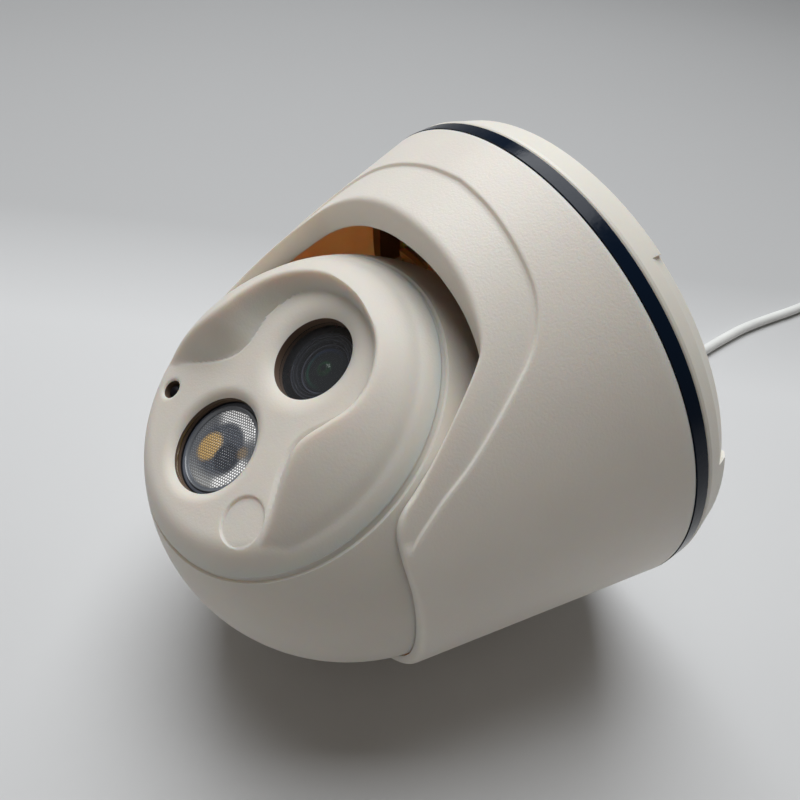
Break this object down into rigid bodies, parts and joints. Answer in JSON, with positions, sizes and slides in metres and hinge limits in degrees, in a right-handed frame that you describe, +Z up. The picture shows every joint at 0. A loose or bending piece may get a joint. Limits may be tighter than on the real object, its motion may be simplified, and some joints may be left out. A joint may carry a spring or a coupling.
{
  "type": "dome camera",
  "caption": "Conical dome camera that pans and tilts by hand: a ball with lens and lamp turns in a wide-mouthed cover on a round base with a tail cable.",
  "frame": {"origin": "on the table under the middle of the camera's own box, without the cable beyond its gland; the camera lies on the side of its conical cover", "axes": "+Z up from the table; the pan axis lies in the XZ plane with the base towards +X and the ball towards -X, dipping 13 degrees towards the ball; +Y is the tilt axis"},
  "size_m": [0.3507, 0.159, 0.108],
  "materials": {
    "base_plastic": "satin moulded ABS, slightly yellowed ivory",
    "cover_plastic": "fine spark-textured moulded ABS, warm ivory",
    "trim_plastic": "polished navy blue",
    "inner_plastic": "smooth moulded ABS, warm from inside",
    "felt": "pressed felt",
    "plated_steel": "zinc-plated sheet",
    "screw_steel": "zinc-plated",
    "soft_grey": "moulded soft PVC",
    "soft_black": "soft, matt",
    "black_plastic": "moulded nylon, matt",
    "clear_glass": "flat polished window",
    "coated_glass": "polished, green and blue anti-reflection coating",
    "sensor_chip": "glass-covered chip",
    "board_green": "solder mask",
    "board_white": "white solder mask on aluminium",
    "clear_optic": "clear acrylic with a pebbled front",
    "phosphor": "yellow phosphor",
    "heat_aluminium": "extruded, matt",
    "sensor_dome": "dark red resin",
    "wire_black": "PVC jacket",
    "cable_jacket": "light grey PVC jacket",
    "nickel": "nickel-plated brass"
  },
  "bodies": {
    "base": {"base_plate": "base_plastic", "trim_ring": "trim_plastic", "friction_ring": "felt", "pan_retainer": "plated_steel", "retainer_screws": "screw_steel", "cable_grommet": "soft_grey", "base_loom": "cable_jacket", "tail_cable": "cable_jacket", "cable_coil": "cable_jacket", "coil_tie": "soft_black", "coil_end": "cable_jacket", "cable_splitter": "cable_jacket", "video_tail": "wire_black", "video_socket": "nickel", "power_tail": "wire_black", "power_socket": "black_plastic"},
    "turning_cover": {"turntable": "inner_plastic", "cover": "cover_plastic", "cover_screws": "screw_steel", "tilt_yoke": "plated_steel", "yoke_screws": "screw_steel"},
    "ball": {"ball_rear_shell": "cover_plastic", "ball_front_cover": "cover_plastic", "seam_gasket": "soft_black", "shell_screws": "screw_steel", "tilt_screws": "screw_steel", "tilt_washers": "soft_black", "inner_frame": "black_plastic", "frame_screws": "screw_steel", "lens_window": "clear_glass", "window_gasket": "soft_black", "lens_barrel": "black_plastic", "lens_elements": "coated_glass", "lens_holder": "black_plastic", "image_sensor": "sensor_chip", "camera_board": "board_green", "board_screws": "screw_steel", "lamp_optic": "clear_optic", "lamp_holder": "black_plastic", "lamp_led": "phosphor", "lamp_board": "board_white", "heat_sink": "heat_aluminium", "light_sensor": "sensor_dome", "ball_loom": "wire_black"}
  },
  "joints": [
    {"name": "pan", "type": "hinge", "parent": "base", "child": "turning_cover", "pos_m": [0.03041, 0, 0.05359], "axis": [-0.9744, 0, -0.225], "range_deg": [-172, 172]},
    {"name": "tilt", "type": "hinge", "parent": "turning_cover", "child": "ball", "pos_m": [-0.00974, 0, 0.04432], "axis": [0, 1, 0], "range_deg": [-66, 24]}
  ]
}
